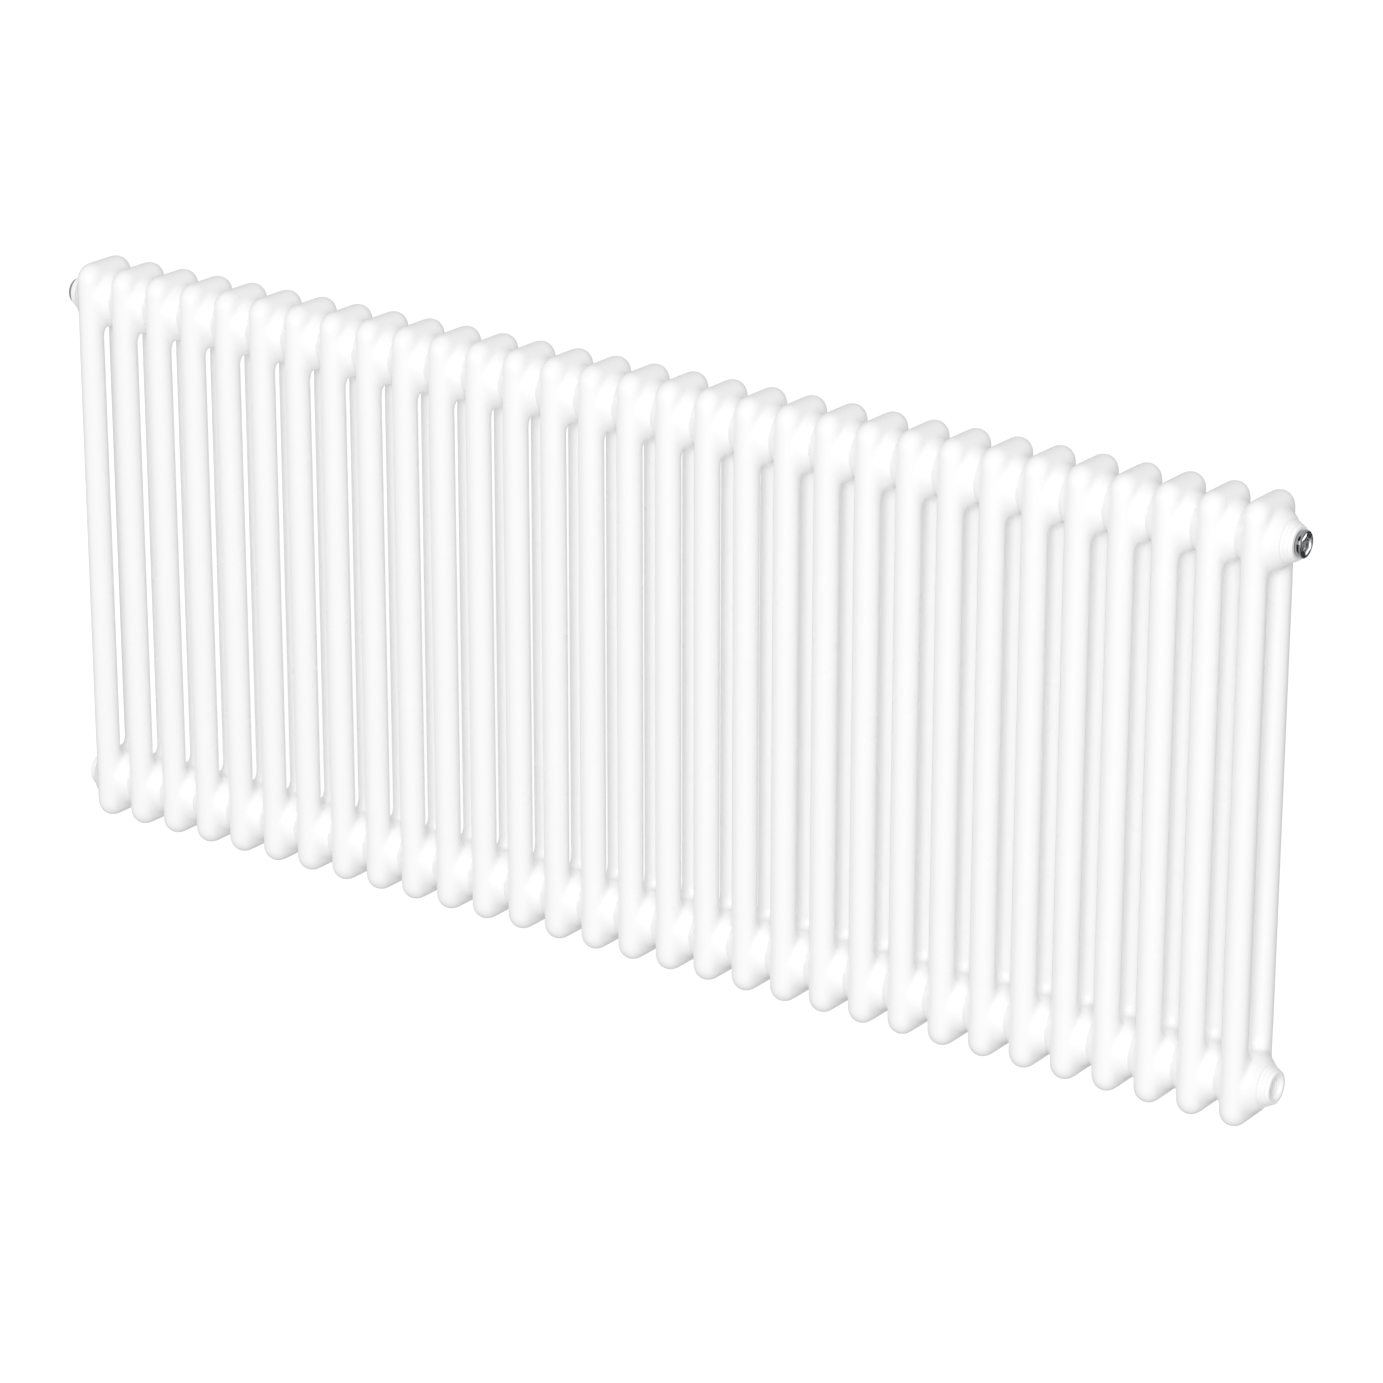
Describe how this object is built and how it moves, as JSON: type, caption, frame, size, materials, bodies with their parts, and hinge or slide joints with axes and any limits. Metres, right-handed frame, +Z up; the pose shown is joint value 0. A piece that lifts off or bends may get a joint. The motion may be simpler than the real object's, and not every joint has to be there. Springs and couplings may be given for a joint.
{
  "type": "column radiator",
  "caption": "White two-column steel tube radiator for a wall, with a key-operated air vent, a blanking plug and open lower ports at its ends.",
  "frame": {"origin": "under the middle of the radiator, on the level of the lowest points of its heads, midway between its two rows of tubes", "axes": "+X along the radiator towards the air vent, -Y into the room, +Y to the wall, +Z up"},
  "size_m": [1.427, 0.07, 0.6],
  "materials": {
    "white_powder_coat": "gloss white powder coat",
    "chrome_plate": "polished",
    "nickel_plated_steel": "satin",
    "black_rubber": "matt"
  },
  "bodies": {
    "radiator": {"section_01": "white_powder_coat", "section_02": "white_powder_coat", "section_03": "white_powder_coat", "section_04": "white_powder_coat", "section_05": "white_powder_coat", "section_06": "white_powder_coat", "section_07": "white_powder_coat", "section_08": "white_powder_coat", "section_09": "white_powder_coat", "section_10": "white_powder_coat", "section_11": "white_powder_coat", "section_12": "white_powder_coat", "section_13": "white_powder_coat", "section_14": "white_powder_coat", "section_15": "white_powder_coat", "section_16": "white_powder_coat", "section_17": "white_powder_coat", "section_18": "white_powder_coat", "section_19": "white_powder_coat", "section_20": "white_powder_coat", "section_21": "white_powder_coat", "section_22": "white_powder_coat", "section_23": "white_powder_coat", "section_24": "white_powder_coat", "section_25": "white_powder_coat", "section_26": "white_powder_coat", "section_27": "white_powder_coat", "section_28": "white_powder_coat", "section_29": "white_powder_coat", "section_30": "white_powder_coat", "section_31": "white_powder_coat", "port_bush_bottom_left": "white_powder_coat", "port_bush_bottom_right": "white_powder_coat", "port_bush_top_left": "white_powder_coat", "port_bush_top_right": "white_powder_coat", "air_vent_body": "chrome_plate", "air_vent_seal": "black_rubber", "blanking_plug": "chrome_plate", "blanking_plug_seal": "black_rubber"},
    "spindle_seal": {"bleed_spindle_seal": "black_rubber"},
    "spindle": {"bleed_spindle": "nickel_plated_steel"}
  },
  "joints": [
    {"name": "bleed_spindle_travel", "type": "slide", "parent": "radiator", "child": "spindle_seal", "axis": [1, 0, 0], "range_m": [0, 0.0015]},
    {"name": "bleed_spindle_turn", "type": "hinge", "parent": "spindle_seal", "child": "spindle", "pos_m": [0.7075, 0, 0.561], "axis": [1, 0, 0], "range_deg": [0, 540]}
  ],
  "couplings": [
    {"joint": "bleed_spindle_turn", "follows": "bleed_spindle_travel", "rad_per_m": 6283.2}
  ]
}
